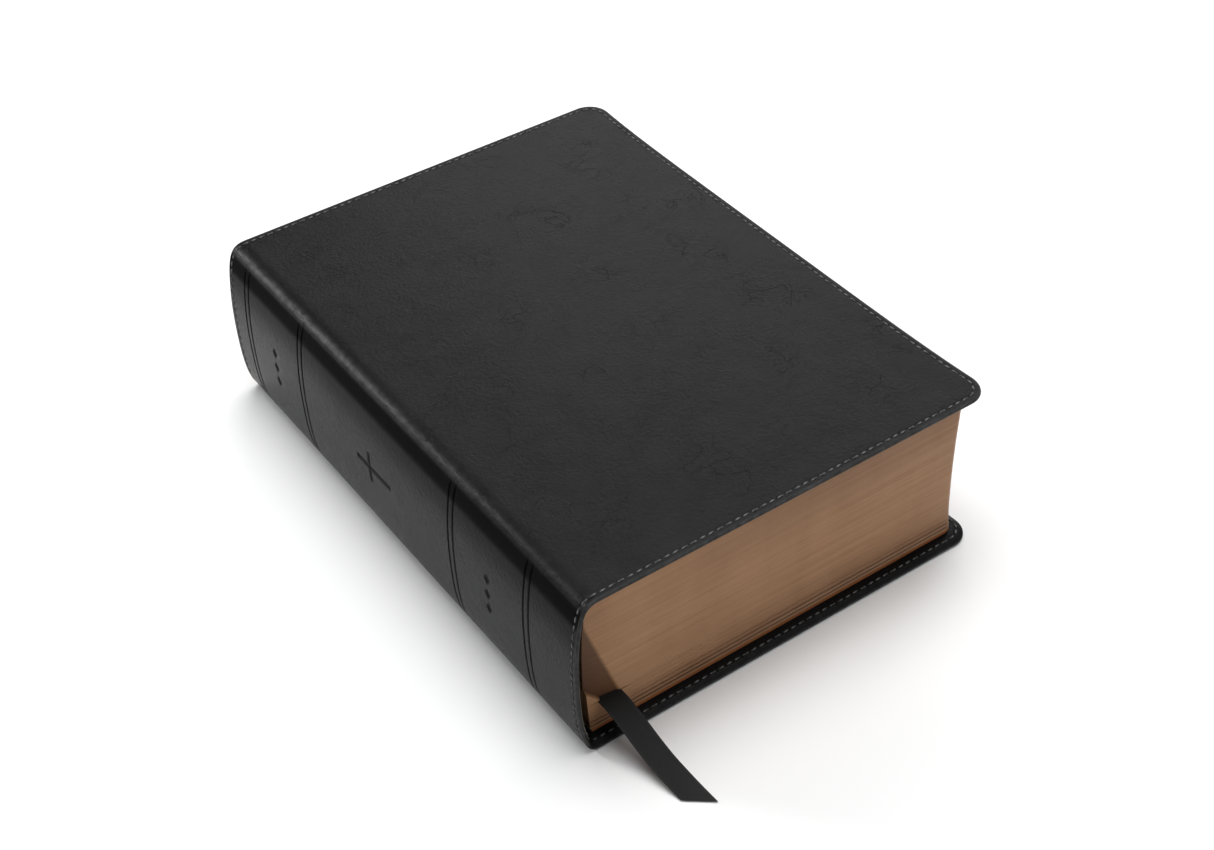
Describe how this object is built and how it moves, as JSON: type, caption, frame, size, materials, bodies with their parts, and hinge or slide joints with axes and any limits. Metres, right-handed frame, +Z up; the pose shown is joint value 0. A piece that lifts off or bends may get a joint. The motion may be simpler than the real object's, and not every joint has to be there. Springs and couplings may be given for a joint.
{
  "type": "bible",
  "caption": "Thick soft-covered bible with stitched black covers, bronze page edges, blind-lined spine and ribbon marker; covers and pages open.",
  "frame": {"origin": "on the table under the middle of the closed book, measured without the ribbon's free tail", "axes": "+X from the spine to the fore-edge, +Y from the tail to the head, +Z up from the back cover to the front cover"},
  "size_m": [0.177, 0.2868, 0.071],
  "materials": {
    "cover_leather": "smooth semi-matte imitation leather",
    "board": "matte grey board",
    "lining_paper": "matte black paper",
    "cover_thread": "twisted polyester thread",
    "endleaf_paper": "matte",
    "page_paper": "bronzed edges on thin cream paper",
    "sewing_thread": "matte thread",
    "spine_cloth": "open woven cloth",
    "ribbon": "satin-woven"
  },
  "bodies": {
    "back_cover": {"back_cover_leather": "cover_leather", "back_board": "board", "back_pastedown": "lining_paper", "back_stitching": "cover_thread"},
    "back_endleaf": {"back_flyleaf": "endleaf_paper"},
    "lower_pages": {"lower_sections": "page_paper", "lower_sewing": "sewing_thread", "lower_lining": "spine_cloth", "ribbon_inner": "ribbon"},
    "marker_tail": {"ribbon_tail": "ribbon"},
    "spine_panel": {"spine_leather": "cover_leather", "spine_stiffener": "board", "spine_liner": "lining_paper", "spine_stitching": "cover_thread"},
    "front_cover": {"front_cover_leather": "cover_leather", "front_board": "board", "front_pastedown": "lining_paper", "front_stitching": "cover_thread"},
    "front_endleaf": {"front_flyleaf": "endleaf_paper"},
    "pages_1": {"sections_1": "page_paper", "sewing_1": "sewing_thread", "lining_1": "spine_cloth"},
    "pages_2": {"sections_2": "page_paper", "sewing_2": "sewing_thread", "lining_2": "spine_cloth"},
    "pages_3": {"sections_3": "page_paper", "sewing_3": "sewing_thread", "lining_3": "spine_cloth"},
    "pages_4": {"sections_4": "page_paper", "sewing_4": "sewing_thread", "lining_4": "spine_cloth"},
    "pages_5": {"sections_5": "page_paper", "sewing_5": "sewing_thread", "lining_5": "spine_cloth"}
  },
  "joints": [
    {"name": "back_cover_opening", "type": "hinge", "parent": "back_cover", "child": "lower_pages", "pos_m": [-0.0855, 0, 0], "axis": [0, -1, 0], "range_deg": [0, 75]},
    {"name": "back_endleaf_turn", "type": "hinge", "parent": "back_cover", "child": "back_endleaf", "pos_m": [-0.081, 0, 0.00275], "axis": [0, -1, 0], "range_deg": [0, 30]},
    {"name": "marked_page_opening", "type": "hinge", "parent": "lower_pages", "child": "pages_1", "pos_m": [-0.0831, 0, 0.01635], "axis": [0, -1, 0], "range_deg": [0, 50]},
    {"name": "page_fan_2", "type": "hinge", "parent": "pages_1", "child": "pages_2", "pos_m": [-0.0831, 0, 0.02679], "axis": [0, -1, 0], "range_deg": [0, 10]},
    {"name": "page_fan_3", "type": "hinge", "parent": "pages_2", "child": "pages_3", "pos_m": [-0.0831, 0, 0.03693], "axis": [0, -1, 0], "range_deg": [0, 10]},
    {"name": "page_fan_4", "type": "hinge", "parent": "pages_3", "child": "pages_4", "pos_m": [-0.0831, 0, 0.04707], "axis": [0, -1, 0], "range_deg": [0, 10]},
    {"name": "page_fan_5", "type": "hinge", "parent": "pages_4", "child": "pages_5", "pos_m": [-0.0831, 0, 0.05721], "axis": [0, -1, 0], "range_deg": [0, 10]},
    {"name": "spine_flex", "type": "hinge", "parent": "lower_pages", "child": "spine_panel", "pos_m": [-0.0855, 0, 0], "axis": [0, -1, 0], "range_deg": [0, 90]},
    {"name": "front_cover_opening", "type": "hinge", "parent": "spine_panel", "child": "front_cover", "pos_m": [-0.0855, 0, 0.071], "axis": [0, -1, 0], "range_deg": [0, 180]},
    {"name": "front_endleaf_turn", "type": "hinge", "parent": "pages_5", "child": "front_endleaf", "pos_m": [-0.081, 0, 0.0677], "axis": [0, -1, 0], "range_deg": [0, 63]},
    {"name": "ribbon_lift", "type": "hinge", "parent": "lower_pages", "child": "marker_tail", "pos_m": [-0.0728, -0.117, 0.0162], "axis": [-1, 0, 0], "range_deg": [0, 55]}
  ],
  "couplings": [
    {"joint": "page_fan_2", "follows": "marked_page_opening", "ratio": 0.2},
    {"joint": "page_fan_3", "follows": "marked_page_opening", "ratio": 0.2},
    {"joint": "page_fan_4", "follows": "marked_page_opening", "ratio": 0.2},
    {"joint": "page_fan_5", "follows": "marked_page_opening", "ratio": 0.2},
    {"joint": "spine_flex", "follows": "marked_page_opening", "ratio": 1.8},
    {"joint": "front_endleaf_turn", "follows": "front_cover_opening", "ratio": 0.35},
    {"joint": "back_endleaf_turn", "follows": "back_cover_opening", "ratio": 0.4}
  ]
}
